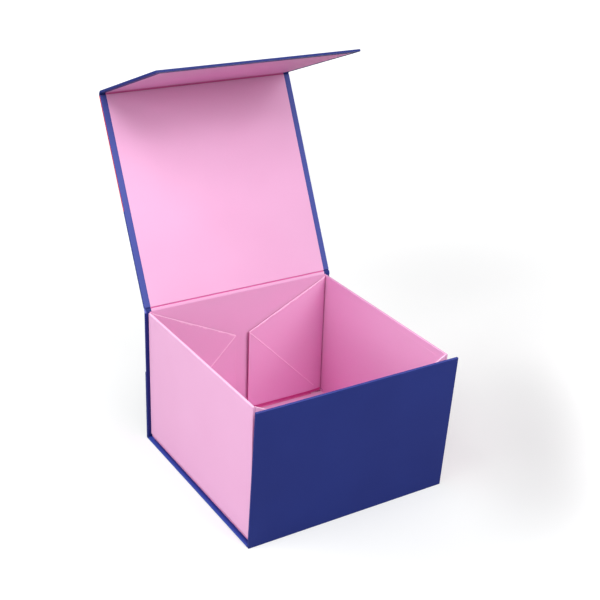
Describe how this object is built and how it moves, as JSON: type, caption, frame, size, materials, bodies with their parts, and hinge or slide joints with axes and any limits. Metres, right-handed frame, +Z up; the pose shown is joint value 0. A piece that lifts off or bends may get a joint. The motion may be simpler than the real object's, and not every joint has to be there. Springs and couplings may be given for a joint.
{
  "type": "collapsible gift box",
  "caption": "Rigid fold-flat gift box: blue wrapped case with hinged lid and magnetic closing flap, pink side walls and creased corner gussets.",
  "frame": {"origin": "on the table, under the middle of the tray between its side walls and its front and back panels", "axes": "+X to the right seen from the front, +Y to the back where the lid is hinged, +Z up"},
  "size_m": [0.2064, 0.3043, 0.3755],
  "materials": {
    "greyboard": "matte",
    "blue_paper": "matte laminated",
    "pink_paper": "matte laminated",
    "pink_card": "matte laminated",
    "magnet": "nickel plated",
    "steel": "plain"
  },
  "bodies": {
    "tray": {"base_board": "greyboard", "base_cover": "blue_paper", "base_lining": "pink_paper", "back_board": "greyboard", "back_cover": "blue_paper", "back_lining": "pink_paper", "back_lap_panel": "blue_paper", "lid_hinge_paper": "pink_paper", "left_wall_board": "greyboard", "left_wall_wrap": "pink_paper", "left_wall_lining": "pink_paper", "left_wall_hinge": "pink_paper", "right_wall_board": "greyboard", "right_wall_wrap": "pink_paper", "right_wall_lining": "pink_paper", "right_wall_hinge": "pink_paper", "left_rear_gusset": "pink_card", "right_rear_gusset": "pink_card", "left_front_gusset_upper": "pink_card", "right_front_gusset_upper": "pink_card"},
    "front_panel": {"front_board": "greyboard", "front_cover": "blue_paper", "front_lining": "pink_paper", "left_steel_plate": "steel", "right_steel_plate": "steel", "left_front_gusset_lower": "pink_card", "right_front_gusset_lower": "pink_card"},
    "lid": {"lid_board": "greyboard", "lid_cover": "blue_paper", "lid_lining": "pink_paper"},
    "flap": {"flap_hinge_paper": "pink_paper", "flap_board": "greyboard", "flap_cover": "blue_paper", "flap_lining": "pink_paper", "left_magnet": "magnet", "right_magnet": "magnet"}
  },
  "joints": [
    {"name": "lid_hinge", "type": "hinge", "parent": "tray", "child": "lid", "pos_m": [0, 0.1014, 0.1418], "axis": [1, 0, 0], "range_deg": [-63.8, 110.6]},
    {"name": "front_fold", "type": "hinge", "parent": "tray", "child": "front_panel", "pos_m": [0, -0.1025, 0], "axis": [1, 0, 0], "range_deg": [-3.5, 2.03]},
    {"name": "flap_hinge", "type": "hinge", "parent": "lid", "child": "flap", "pos_m": [0, 0.19152, 0.32494], "axis": [1, 0, 0], "range_deg": [-95.6, 0]}
  ],
  "couplings": [
    {"joint": "front_fold", "follows": "lid_hinge", "ratio": -0.031646}
  ]
}
